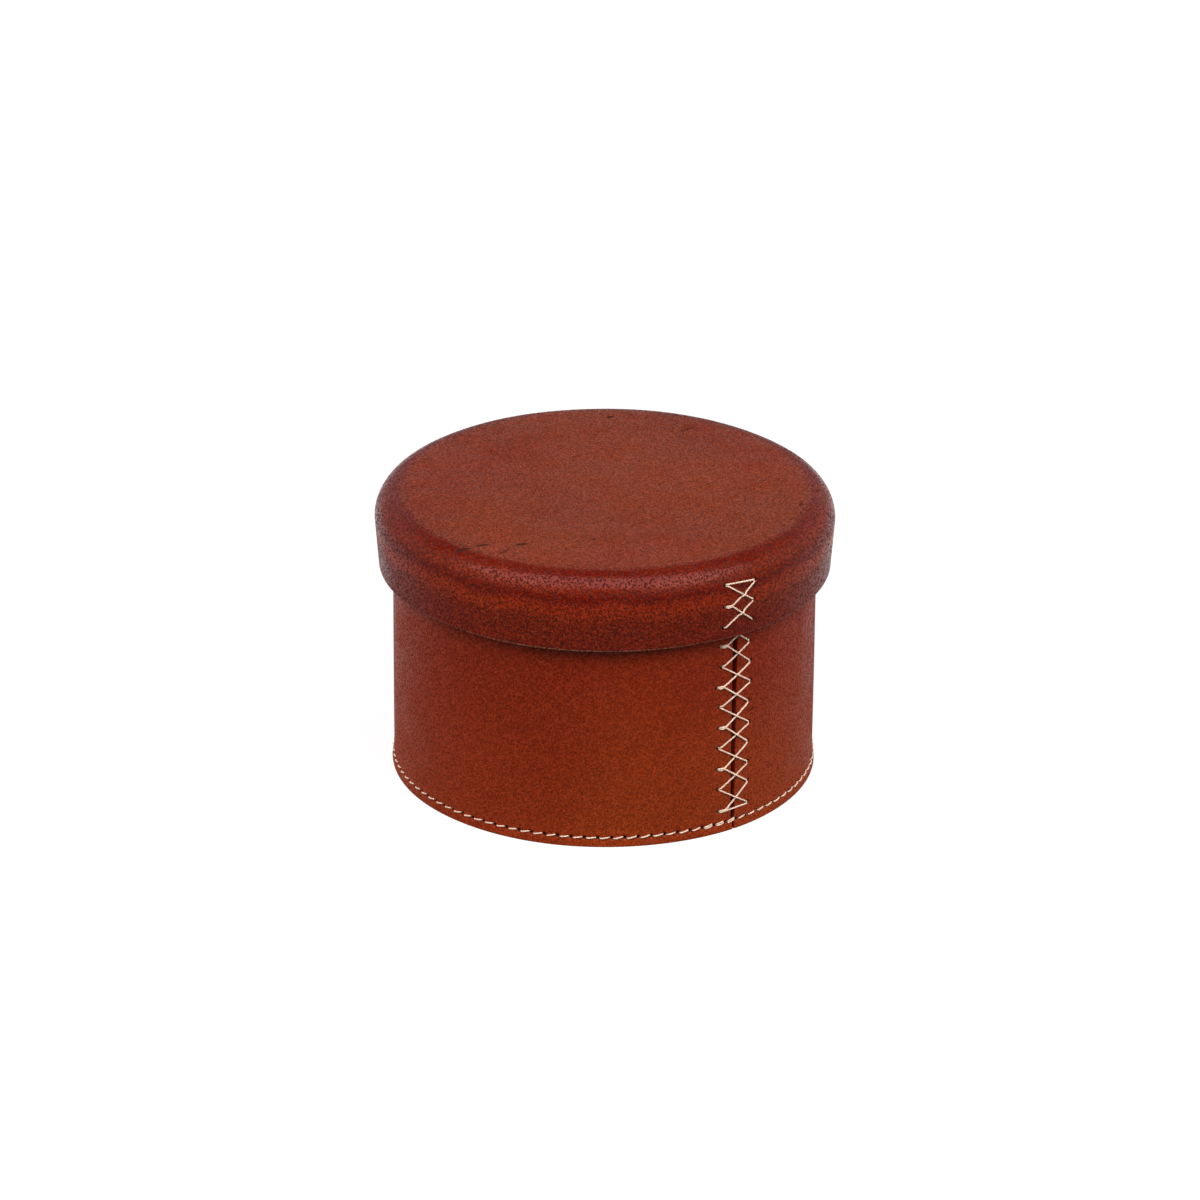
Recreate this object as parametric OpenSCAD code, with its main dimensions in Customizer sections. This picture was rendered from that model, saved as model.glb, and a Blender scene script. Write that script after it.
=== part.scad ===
// Round leather box with a lift-off lid, millimetres.
// Origin at the middle of the foot, +Z up, front along -Y, right along +X.

/* [Wall] */
// Outside diameter of the wall above its foot
wall_d = 152.4; // [130:0.2:180]
// Height of the wall from foot to rim
wall_h = 102.2; // [80:0.2:140]
// Thickness of the wall's leather
wall_t = 3.2; // [2.4:0.1:4]
// Rounding of the wall's rim
rim_r = 1.2; // [0.6:0.1:1.5]
// How far the foot of the wall spreads outwards
foot_spread = 0.8; // [0.4:0.1:1.6]
// Height over which the foot spreads
foot_h = 8; // [5:0.5:8.5]

/* [Seam] */
// Angle of the wall's seam to the right of the front
seam_angle = 37; // [0:0.5:90]
// Open width of the seam at the foot
seam_w_foot = 1.3; // [0.4:0.1:2]
// Open width of the seam at the rim
seam_w_rim = 3.2; // [0.4:0.1:4]
// Width of the backing strip behind the seam
backing_w = 22; // [18:0.5:30]
// Thickness of the backing strip
backing_t = 1.5; // [1:0.1:2.5]

/* [Base] */
// Thickness of the base leather
pan_t = 3; // [2:0.1:3.8]
// Inner radius of the bend between flange and floor
pan_bend = 1; // [0.5:0.1:1.1]
// Gap between the flange's lower edge and the surface that the box stands on
pan_lift = 0.5; // [0.2:0.1:1.5]
// Thickness of the suede on the floor
floor_lining_t = 1; // [0.6:0.1:1.6]

/* [Lid] */
// Depth of the lid from its top to its lower edge
lid_h = 27.2; // [24:0.1:40]
// Thickness of the lid's leather
lid_t = 2.4; // [1.8:0.1:2.8]
// Radius of the lid's shoulder
lid_round = 10; // [8:0.1:13]
// Gap between the wall and the lid's mouth
lid_play = 2.6; // [2.3:0.1:3.4]
// How much wider the lid is below its shoulder than at its mouth
lid_swell = 1.3; // [0.8:0.1:2]
// Rounding of the lid's lower edge
lid_edge_r = 0.9; // [0.4:0.1:1]
// Thickness of the suede under the lid's top
lid_lining_t = 1; // [0.6:0.1:1.6]

/* [Thread] */
// Diameter of the thread
thread_d = 0.75; // [0.5:0.05:0.8]
// Radius to which the thread bends at a hole
thread_bend = 0.55; // [0.5:0.05:0.8]
// Length over which the two strands of a left hole run side by side
strand_run = 3; // [1.5:0.1:4]

/* [Wall lacing] */
// Distance between the two columns of holes
lace_w = 12.6; // [11:0.2:16]
// Distance between rows of holes
lace_pitch = 8; // [7:0.1:10]
// Height of the lowest row
lace_low = 8; // [6.6:0.1:8.5]
// Least leather between the top row and the rim
lace_rim = 5; // [3:0.5:12]

/* [Lid lacing] */
// Angle of the lid's lacing to the right of the front
lid_lace_angle = 35; // [0:0.5:90]
// Distance between the two columns of holes
lid_lace_w = 11.5; // [10:0.1:15]
// Distance between rows of holes
lid_lace_pitch = 7.9; // [6.5:0.1:8.3]
// Height of the lowest row above the lid's lower edge
lid_lace_low = 4; // [3:0.1:5]
// Number of rows
lid_lace_rows = 3; // [2:1:3]

/* [Base stitching] */
// Distance from one awl hole to the next
stitch_pitch = 4.8; // [4:0.1:7]
// Height of the row of stitches
stitch_z = 3.4; // [2.4:0.1:4.6]

/* [Fits] */
// Gap between glued or sewn leathers
glue_gap = 0.1; // [0.05:0.01:0.2]
// Gap between a thread and the leather under it
lie_gap = 0.04; // [0.02:0.01:0.08]
// Gap between two strands in one hole
strand_gap = 0.1; // [0.06:0.01:0.16]
// Gap between a strand and the side of its hole
hole_gap = 0.15; // [0.05:0.01:0.2]
// Gap at which the lid sits on the rim
seat_gap = 0.3; // [0.2:0.05:0.6]

/* [Hidden] */
$fn = 96;

// Leather and thread as the eye sees them
body_brown = [0.47, 0.18, 0.10];
lid_brown = [0.50, 0.22, 0.15];
raw_brown = [0.42, 0.24, 0.15];
suede_tan = [0.62, 0.47, 0.34];
ivory = [0.87, 0.82, 0.70];

// Wall
front = -90;
wall_r = wall_d / 2;
wall_ri = wall_r - wall_t;
rim_round = min(rim_r, 0.45 * wall_t);
foot_r = (foot_h * foot_h + foot_spread * foot_spread) / (2 * foot_spread);
foot_bevel = 0.5;
seam_at = front + seam_angle;

// Holes and strands
strand_off = (thread_d + strand_gap) / 2;
hole_r = strand_off + thread_d / 2 + hole_gap;
lie = thread_d / 2 + lie_gap;
layer = thread_d + lie_gap;
cross_flat = 0.7 * thread_d;
cross_ramp = 2.1 * thread_d;
sides = 6;
// Side of a square strand whose section is as large as the round thread's
strand_side = thread_d * sqrt(PI) / 2;

// Base: the floor and its suede lie midway between the two lowest rows of holes
floor_z = lace_low + lace_pitch / 2 - (pan_t + floor_lining_t) / 2;
floor_top = floor_z + pan_t;
pan_r = wall_ri - glue_gap;
pan_flat_r = pan_r - pan_t - pan_bend;
bend_z = floor_z - pan_bend;
backing_r = wall_ri - glue_gap;
lining_side = 0.3;
// How far a cutter runs past what it cuts
past = 1;
floor_lining_r = backing_r - backing_t - lining_side;

// Lid: the inside of its shoulder comes down on the rim of the wall
lid_lining_side = 1;
lid_mouth_r = wall_r + lid_play + lid_t;
lid_r = lid_mouth_r + lid_swell;
lid_flat_r = lid_r - lid_round;
lid_in_round = lid_round - lid_t;
seat_reach = lid_in_round - rim_round - seat_gap;
seat_out = max(0, wall_r - rim_round - lid_flat_r);
shoulder_z = wall_h - rim_round - sqrt(seat_reach * seat_reach - seat_out * seat_out);
lid_top = shoulder_z + lid_round;
lid_low = lid_top - lid_h;
edge_round = min(lid_edge_r, 0.45 * lid_t);
skirt_low = lid_low + edge_round;
lid_lining_r = min(lid_flat_r, wall_ri) - lid_lining_side;

// Rows of the two lacings, from the bar that closes each to its open end
lace_rows = floor((wall_h - lace_rim - lace_low) / lace_pitch) + 1;
wall_rows = [for (k = [0:lace_rows - 1]) lace_low + k * lace_pitch];
lid_rows = [for (k = [0:lid_lace_rows - 1])
    lid_low + lid_lace_low + (lid_lace_rows - 1 - k) * lid_lace_pitch];

// Base stitches, the first of which crosses the seam
stitch_drop = max(0, foot_h - stitch_z);
stitch_tilt = asin(stitch_drop / foot_r);
stitch_count = round(2 * PI * wall_r / stitch_pitch);
stitch_step = 360 / stitch_count;
stitch_lean = 0.15;
stitch_w = 2 * wall_r * sin(stitch_step / 2) - 2 * stitch_lean;
stitch_slant = atan(2 * strand_off / stitch_w);
stitch_depth = wall_t + glue_gap + pan_t;

function unit(v) = v / norm(v);

// How far the foot stands out at height z
function spread(z) = z < foot_h ? foot_r - sqrt(pow(foot_r, 2) - pow(foot_h - z, 2)) : 0;

// Leather that a strand goes through at height z
function lace_depth(z) = z < floor_z ? wall_t + glue_gap + pan_t : wall_t + glue_gap + backing_t;

// Place on the wall: u along its outside from the seam, height z, h out from the leather
function wall_point(u, z, h) =
    let (a = seam_at + u / wall_r * 180 / PI, r = wall_r + spread(z) + h)
    [r * cos(a), r * sin(a), z];

// Slope of the lid's side at height z, 0 on the skirt
function lid_slope(z) = asin(max(0, min(1, (z - shoulder_z) / lid_round)));

// The same on the lid, square to the skirt or to the shoulder. Inside the leather a strand keeps to
// its hole, so both strands of a hole lie parallel.
function lid_point(u, z, h) =
    let (a = front + lid_lace_angle + u / lid_r * 180 / PI,
        rows = [for (row = lid_rows) if (abs(row - z) < 2 * strand_off) row],
        up = lid_slope(h < 0 && len(rows) > 0 ? rows[0] : z),
        share = (min(z, shoulder_z) - skirt_low) / (shoulder_z - skirt_low),
        side = lid_mouth_r + lid_swell * share,
        base = z > shoulder_z ? lid_flat_r + lid_round * cos(lid_slope(z)) : side,
        r = base + h * cos(up))
    [r * cos(a), r * sin(a), z + h * sin(up)];

// Where the lines through p1, p2 and q1, q2 cross
function crossing(p1, p2, q1, q2) =
    let (d = p2 - p1, e = q2 - q1, w = q1 - p1,
        t = (w[0] * e[1] - w[1] * e[0]) / (d[0] * e[1] - d[1] * e[0]))
    p1 + t * d;

// Where a strand lies on the leather at p
function lying(p) = [p[0], p[1], lie];

// A strand on the outside from hole a to hole b, over the points of via
function out_span(a, b, via) =
    let (last = len(via) - 1,
        da = unit([via[0][0], via[0][1]] - a) * thread_bend,
        db = unit([via[last][0], via[last][1]] - b) * thread_bend)
    concat([[a[0], a[1], lie - thread_bend], [a[0] + da[0], a[1] + da[1], lie]], via,
        [[b[0] + db[0], b[1] + db[1], lie], [b[0], b[1], lie - thread_bend]]);

// A strand on the inside from hole a to hole b, at depth h
function in_span(a, b, h) =
    let (d = unit(b - a) * thread_bend)
    [[a[0], a[1], h + thread_bend], [a[0] + d[0], a[1] + d[1], h],
        [b[0] - d[0], b[1] - d[1], h], [b[0], b[1], h + thread_bend]];

// A strand's cut end on the inside, from hole a towards b
function in_tail(a, b, h, length) =
    let (d = unit(b - a))
    [[a[0], a[1], h + thread_bend], [a[0] + d[0] * thread_bend, a[1] + d[1] * thread_bend, h],
        [a[0] + d[0] * length, a[1] + d[1] * length, h]];

// Thread through two columns of holes, half w either side: a bar at the first row, then a cross
// between each row and the next. At left holes whose row number leaves odd as its remainder, both
// strands run side by side before they part. Points are [u, z, h].
function lace_path(rows, w, depths, odd, tail) =
    let (n = len(rows), s = sign(rows[1] - rows[0]), off = s * strand_off, half = w / 2,
        next_l = [for (z = rows) [-half, z + off]],
        back_l = [for (z = rows) [-half, z - off]],
        next_r = [for (z = rows) [half, z + off]],
        back_r = [for (z = rows) [half, z - off]],
        part = [for (k = [0:n - 1]) k % 2 == odd ? strand_run : 0],
        part_next = [for (k = [0:n - 1]) next_l[k] + [part[k], 0]],
        part_back = [for (k = [0:n - 1]) back_l[k] + [part[k], 0]],
        in_1 = [for (d = depths) -d - lie],
        in_2 = [for (d = depths) -d - lie - layer],
        under = [for (k = [0:n - 2]) concat(
            part[k] > 0 ? [lying(part_next[k])] : [],
            [for (i = [1:6]) lying(part_next[k] + i / 7 * (back_r[k + 1] - part_next[k]))])],
        over = [for (k = [0:n - 2])
            let (c = crossing(part_next[k], back_r[k + 1], next_r[k], part_back[k + 1]),
                d = unit(next_r[k] - part_back[k + 1]))
            concat(part[k + 1] > 0 ? [lying(part_back[k + 1])] : [],
                [lying((part_back[k + 1] + c - cross_ramp * d) / 2), lying(c - cross_ramp * d)],
                [for (p = [c - cross_flat * d, c + cross_flat * d]) [p[0], p[1], lie + layer]],
                [lying(c + cross_ramp * d), lying((next_r[k] + c + cross_ramp * d) / 2)])],
        start = in_tail(back_l[n - 1], back_r[n - 1], in_1[n - 1], tail),
        down = [for (k = [n - 2:-1:0]) each concat(
            out_span(back_l[k + 1], next_r[k], over[k]),
            in_span(next_r[k], back_l[k], in_2[k]))],
        bar = concat(
            out_span(back_l[0], back_r[0], [for (i = [-1:1]) lying([i * w / 4, back_l[0][1]])]),
            in_span(back_r[0], next_l[0], in_1[0])),
        up = [for (k = [0:n - 2]) each concat(
            out_span(next_l[k], back_r[k + 1], under[k]),
            k < n - 2 ? in_span(back_r[k + 1], next_l[k + 1], in_1[k + 1])
                : in_tail(back_r[n - 1], back_l[n - 1], in_1[n - 1], tail))])
    concat([for (i = [2:-1:0]) start[i]], down, bar, up);

// Round thread along a list of points
module thread(points) {
    n = len(points);
    step = [for (i = [0:n - 2]) unit(points[i + 1] - points[i])];
    along = [for (i = [0:n - 1]) unit(step[max(0, i - 1)] + step[min(n - 2, i)])];
    side = [for (i = 0, v = unit(cross(along[0], [0, 0, 1])); i < n;
        i = i + 1, v = i < n ? unit(v - (v * along[i]) * along[i]) : v) v];
    rings = [for (i = [0:n - 1]) let (v = side[i], w = cross(along[i], v))
        for (j = [0:sides - 1]) let (a = 360 * j / sides)
            points[i] + thread_d / 2 * (cos(a) * v + sin(a) * w)];
    walls = [for (i = [0:n - 2]) for (j = [0:sides - 1])
        let (a = i * sides + j, b = i * sides + (j + 1) % sides)
        each [[a, a + sides, b + sides], [a, b + sides, b]]];
    first = [for (j = [0:sides - 1]) j];
    last = [for (j = [sides - 1:-1:0]) (n - 1) * sides + j];
    polyhedron(rings, concat([first], walls, [last]));
}

// Band of leather that follows the wall's outside, from depth d1 to depth d2, heights z1 to z2
module wall_band(d1, d2, z1, z2) {
    translate([wall_r - d2, foot_h]) square([d2 - d1, z2 - foot_h]);
    intersection() {
        translate([wall_r + foot_r, foot_h]) difference() {
            circle(foot_r + d2);
            circle(foot_r + d1);
        }
        translate([wall_r - d2 - past, z1]) square([d2 - d1 + foot_spread + 2 * past, foot_h - z1]);
    }
}

// Holes of the two columns, square to the leather
module wall_lace_holes() {
    for (z = wall_rows, u = [-lace_w / 2, lace_w / 2])
        rotate([0, 0, seam_at + u / wall_r * 180 / PI])
            translate([wall_r - lace_depth(z) - past, 0, z]) rotate([0, 90, 0])
                cylinder(r = hole_r, h = lace_depth(z) + 2 * past);
}

// Place of base stitch or awl hole number i, x out of the wall
module at_stitch(i) {
    rotate([0, 0, seam_at + i * stitch_step])
        translate([wall_r + foot_r, 0, stitch_z + stitch_drop])
            rotate([0, -stitch_tilt, 0]) translate([-foot_r, 0, 0]) children();
}

module awl_holes() {
    for (i = [0:stitch_count - 1]) at_stitch(i + 0.5)
        translate([-stitch_depth - past, 0, 0]) rotate([0, 90, 0])
            cylinder(r = hole_r, h = stitch_depth + 2 * past, $fn = 24);
}

// Tapered opening between the two ends of the strip
module seam_cut() {
    slope = (seam_w_rim - seam_w_foot) / wall_h;
    below = seam_w_foot / 2 - slope * past / 2;
    above = seam_w_rim / 2 + slope * past / 2;
    rotate([0, 0, seam_at]) translate([wall_ri - past, 0, 0]) rotate([90, 0, 90])
        linear_extrude(wall_t + foot_spread + 2 * past)
            polygon([[-below, -past], [below, -past], [above, wall_h + past], [-above, wall_h + past]]);
}

// Edge of a leather between x1 and x2, rounded to r; up is 1 for an upper edge, 0 for a lower one
module rounded_edge(x1, x2, z, r, up) {
    translate([x1 + r, z]) square([x2 - x1 - 2 * r, r]);
    intersection() {
        translate([x1 + r, up ? z : z + r]) circle(r);
        translate([x1, z]) square(r);
    }
    intersection() {
        translate([x2 - r, up ? z : z + r]) circle(r);
        translate([x2 - r, z]) square(r);
    }
}

// All that lies above the bevels of the wall's lower edge
module foot_outline() {
    inner = wall_ri + foot_spread;
    outer = wall_r + foot_spread;
    polygon([[inner + foot_bevel, 0], [outer - foot_bevel, 0], [outer + foot_bevel, 2 * foot_bevel],
        [outer + foot_bevel, wall_h], [wall_ri - past, wall_h],
        [wall_ri - past, foot_bevel + foot_spread + past]]);
}

module wall() {
    color(body_brown) difference() {
        rotate_extrude() {
            intersection() {
                wall_band(0, wall_t, 0, wall_h - rim_round);
                foot_outline();
            }
            rounded_edge(wall_ri, wall_r, wall_h - rim_round, rim_round, 1);
        }
        seam_cut();
        wall_lace_holes();
        awl_holes();
    }
}

module seam_backing() {
    turn = backing_w / backing_r * 180 / PI;
    low = floor_top + glue_gap;
    high = wall_h - 3 * rim_round;
    color(raw_brown) difference() {
        rotate([0, 0, seam_at - turn / 2]) rotate_extrude(angle = turn)
            translate([backing_r - backing_t, low]) square([backing_t, high - low]);
        wall_lace_holes();
    }
}

module wall_lacing() {
    depths = [for (z = wall_rows) lace_depth(z)];
    color(ivory) thread([for (p = lace_path(wall_rows, lace_w, depths, 0, lace_w / 3))
        wall_point(p[0], p[1], p[2])]);
}

module base_pan() {
    outside = wall_t + glue_gap;
    color(raw_brown) difference() {
        rotate_extrude() {
            wall_band(outside, outside + pan_t, pan_lift, bend_z);
            translate([pan_flat_r, bend_z]) intersection() {
                difference() {
                    circle(pan_t + pan_bend);
                    circle(pan_bend);
                }
                square(pan_t + pan_bend);
            }
            translate([0, floor_z]) square([pan_flat_r, pan_t]);
        }
        wall_lace_holes();
        awl_holes();
    }
}

// Corners of a closed loop, run wide and depth deep, with its corners taken off
function loop_outline(run, depth, bend) =
    let (x = depth / 2, y = run / 2, f = bend)
    [[x, f - y], [x, y - f], [x - f, y], [f - x, y], [-x, y - f], [-x, f - y], [f - x, -y], [x - f, -y]];

// One stitch: a loop of thread that goes out through one awl hole and back through the next
module thread_loop(run, depth) {
    half = strand_side / 2;
    outer = loop_outline(run + 2 * half, depth + 2 * half, thread_bend + half);
    inner = loop_outline(run - 2 * half, depth - 2 * half, thread_bend - half / 2);
    translate([-depth / 2, 0, 0]) linear_extrude(strand_side, center = true)
        polygon(concat(outer, inner), [[for (k = [0:7]) k], [for (k = [8:15]) k]]);
}

module base_stitching() {
    color(ivory) for (i = [0:stitch_count - 1]) at_stitch(i) rotate([stitch_slant, 0, 0])
        translate([lie, 0, 0]) thread_loop(stitch_w, stitch_depth + 2 * lie);
}

module floor_lining() {
    color(suede_tan) translate([0, 0, floor_top]) cylinder(r = floor_lining_r, h = floor_lining_t);
}

// Section of the lid between its outside and a surface d inside it
module lid_section(d) {
    translate([lid_flat_r, shoulder_z]) intersection() {
        circle(lid_round - d);
        square(lid_round);
    }
    translate([0, shoulder_z]) square([lid_flat_r, lid_round - d]);
    polygon([[0, skirt_low], [lid_mouth_r - d, skirt_low], [lid_r - d, shoulder_z], [0, shoulder_z]]);
}

module lid_lace_holes() {
    for (z = lid_rows, u = [-lid_lace_w / 2, lid_lace_w / 2]) {
        at = lid_point(u, z, 0);
        translate(at) rotate([0, 0, atan2(at[1], at[0])]) rotate([0, -lid_slope(z), 0])
            translate([-lid_t - past, 0, 0]) rotate([0, 90, 0])
                cylinder(r = hole_r, h = lid_t + 2 * past);
    }
}

module lid_shell() {
    color(lid_brown) difference() {
        rotate_extrude() {
            difference() {
                lid_section(0);
                lid_section(lid_t);
                translate([0, skirt_low - past]) square([lid_mouth_r - lid_t, 2 * past]);
            }
            rounded_edge(lid_mouth_r - lid_t, lid_mouth_r, lid_low, edge_round, 0);
        }
        lid_lace_holes();
    }
}

module lid_lacing() {
    depths = [for (z = lid_rows) lid_t];
    color(ivory) thread([for (p = lace_path(lid_rows, lid_lace_w, depths, 1, lid_lace_w / 3))
        lid_point(p[0], p[1], p[2])]);
}

module lid_lining() {
    color(suede_tan) translate([0, 0, lid_top - lid_t - lid_lining_t])
        cylinder(r = lid_lining_r, h = lid_lining_t);
}

wall();
seam_backing();
wall_lacing();
base_pan();
base_stitching();
floor_lining();
lid_shell();
lid_lacing();
lid_lining();
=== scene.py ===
"""Looks of a round box of thick leather with a lift-off lid.

Metres, with the origin at the middle of the foot, +Z up, the front along -Y and right along +X.
"""
import math
import random

import bmesh
import bpy
from mathutils import Matrix, Vector, noise


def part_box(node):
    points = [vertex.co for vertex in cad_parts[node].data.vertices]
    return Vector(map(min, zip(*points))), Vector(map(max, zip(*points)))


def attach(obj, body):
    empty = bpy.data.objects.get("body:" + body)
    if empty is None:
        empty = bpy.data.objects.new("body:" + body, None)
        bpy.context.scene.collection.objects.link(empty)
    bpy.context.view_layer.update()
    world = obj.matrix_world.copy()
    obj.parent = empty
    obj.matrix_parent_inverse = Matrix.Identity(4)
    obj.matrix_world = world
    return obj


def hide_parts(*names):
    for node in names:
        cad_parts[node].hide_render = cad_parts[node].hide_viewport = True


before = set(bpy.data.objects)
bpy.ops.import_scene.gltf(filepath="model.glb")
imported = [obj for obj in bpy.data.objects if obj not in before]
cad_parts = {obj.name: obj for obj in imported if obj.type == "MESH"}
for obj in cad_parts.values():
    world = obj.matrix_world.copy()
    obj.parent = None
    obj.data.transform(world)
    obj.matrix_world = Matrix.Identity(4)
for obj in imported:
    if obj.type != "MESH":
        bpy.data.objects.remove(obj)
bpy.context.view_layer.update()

MM = 0.001
random.seed(7)

# Sizes of the leather, the holes and the thread
wall_low, wall_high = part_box("wall")
shell_low, shell_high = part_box("lid_shell")
FRONT = math.radians(-90)
WALL_R = 76.2 * MM
WALL_T = 3.2 * MM
WALL_H = wall_high.z
FOOT_SPREAD = 0.8 * MM
FOOT_H = 8 * MM
FOOT_CURVE = (FOOT_H ** 2 + FOOT_SPREAD ** 2) / (2 * FOOT_SPREAD)
PAN_T = 3 * MM
BACKING_T = 1.5 * MM
GLUE = 0.1 * MM
FLOOR_UNDER = 10 * MM
SEAM_AT = FRONT + math.radians(37)
SEAM_FOOT = 1.6 * MM
SEAM_RIM = 2.1 * MM

LID_R = 82.5 * MM
LID_MOUTH = 81.2 * MM
LID_T = 2.4 * MM
LID_ROUND = 10 * MM
LID_TOP = shell_high.z
LID_LOW = shell_low.z
SKIRT_LOW = LID_LOW - 0.7 * MM
LID_FLAT = LID_R - LID_ROUND
SHOULDER_Z = LID_TOP - LID_ROUND
LID_LACE_AT = FRONT + math.radians(35)

THREAD_R = 0.33 * MM
LIE = 0.3 * MM
LAYER = 0.55 * MM
BEND = 0.55 * MM
STRAND = 0.24 * MM
STRAND_RUN = 2.3 * MM
LACE_HALF = 6.3 * MM
WALL_ROWS = [(8 + 8 * k) * MM for k in range(12)]
LID_LACE_HALF = 5.75 * MM
LID_ROWS = [LID_LOW + (4 + 7.9 * k) * MM for k in (2, 1, 0)]
STITCHES = 100
STITCH_STEP = 2 * math.pi / STITCHES
STITCH_Z = 3.4 * MM
STITCH_SHIFT = -0.7 * MM


def holes(half, rows, strays):
    """Places of a column's holes: half from the middle, each strayed a little under the awl, in mm."""
    return [(half + u * MM, z + rise * MM) for z, (u, rise) in zip(rows, strays)]


WALL_LEFT = holes(-LACE_HALF, WALL_ROWS, (
    (0.8, 0), (0.5, 0.7), (0.1, 0.6), (0.2, 0.8), (0.4, 0.7), (0.5, 0.8), (-0.6, 0.6), (1.2, 0.3), (0.5, 0.2),
    (0.2, 1.3), (-0.1, 0.3), (0.3, 0.1)))
WALL_RIGHT = holes(LACE_HALF, WALL_ROWS, (
    (0.4, 0.2), (0.2, 0.7), (0.1, 0.2), (-0.1, 0.3), (0.5, -0.3), (0, 0), (0.7, -0.3), (0.5, -0.6), (-0.1, -0.6),
    (0.2, -1.0), (0.3, -0.2), (0, 0.2)))
LID_LEFT = holes(-LID_LACE_HALF, LID_ROWS, ((0.2, 0.5), (0.1, 0.1), (-0.1, -0.3)))
LID_RIGHT = holes(LID_LACE_HALF, LID_ROWS, ((0.3, -0.3), (-0.1, 0.3), (0.1, 0.3)))


def spread(z):
    """How far the foot stands out at height z."""
    if z >= FOOT_H:
        return 0.0
    return FOOT_CURVE - math.sqrt(FOOT_CURVE ** 2 - (FOOT_H - z) ** 2)


def seam_gap(z):
    """Width of the open seam at height z; the stitching draws it nearly closed at the foot."""
    drawn = 1.2 * MM * (1 - smooth_step(0, 5 * MM, z))
    return SEAM_FOOT + (SEAM_RIM - SEAM_FOOT) * z / WALL_H - drawn


def on_wall(u, z, out):
    """The point u along the wall from the seam, at height z, out from the leather."""
    angle = SEAM_AT + u / WALL_R
    r = WALL_R + spread(z) + out
    return Vector((r * math.cos(angle), r * math.sin(angle), z))


def lid_side(z):
    """Radius of the lid's skirt at height z."""
    share = max(0.0, (min(z, SHOULDER_Z) - LID_LOW) / (SHOULDER_Z - LID_LOW))
    return LID_MOUTH + (LID_R - LID_MOUTH) * share


def on_lid(u, z, out):
    """The same on the lid, square to its skirt or shoulder."""
    angle = LID_LACE_AT + u / LID_R
    rise = math.asin(min(1.0, max(0.0, (z - SHOULDER_Z) / LID_ROUND)))
    base = lid_side(z) if z <= SHOULDER_Z else LID_FLAT + LID_ROUND * math.cos(rise)
    r = base + out * math.cos(rise)
    return Vector((r * math.cos(angle), r * math.sin(angle), z + out * math.sin(rise)))


def smooth_step(low, high, x):
    t = min(1.0, max(0.0, (x - low) / (high - low)))
    return t * t * (3 - 2 * t)


# View of the photograph
VIEW_DOWN = math.radians(24.14)
VIEW_AWAY = 2.0
VIEW_X = -1.6 * MM
VIEW_Z = 61.16 * MM
VIEW_ROLL = math.radians(0.40)
VIEW_LENS = 166.2


def photo_camera():
    data = bpy.data.cameras.new("photo_camera")
    data.lens = VIEW_LENS
    data.sensor_width = 36
    camera = bpy.data.objects.new("photo_camera", data)
    bpy.context.scene.collection.objects.link(camera)
    place = Vector((VIEW_X, -VIEW_AWAY * math.cos(VIEW_DOWN), VIEW_Z + VIEW_AWAY * math.sin(VIEW_DOWN)))
    turn = Matrix.Rotation(math.pi / 2 - VIEW_DOWN, 4, "X") @ Matrix.Rotation(VIEW_ROLL, 4, "Z")
    camera.matrix_world = Matrix.Translation(place) @ turn
    bpy.context.scene.camera = camera


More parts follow.
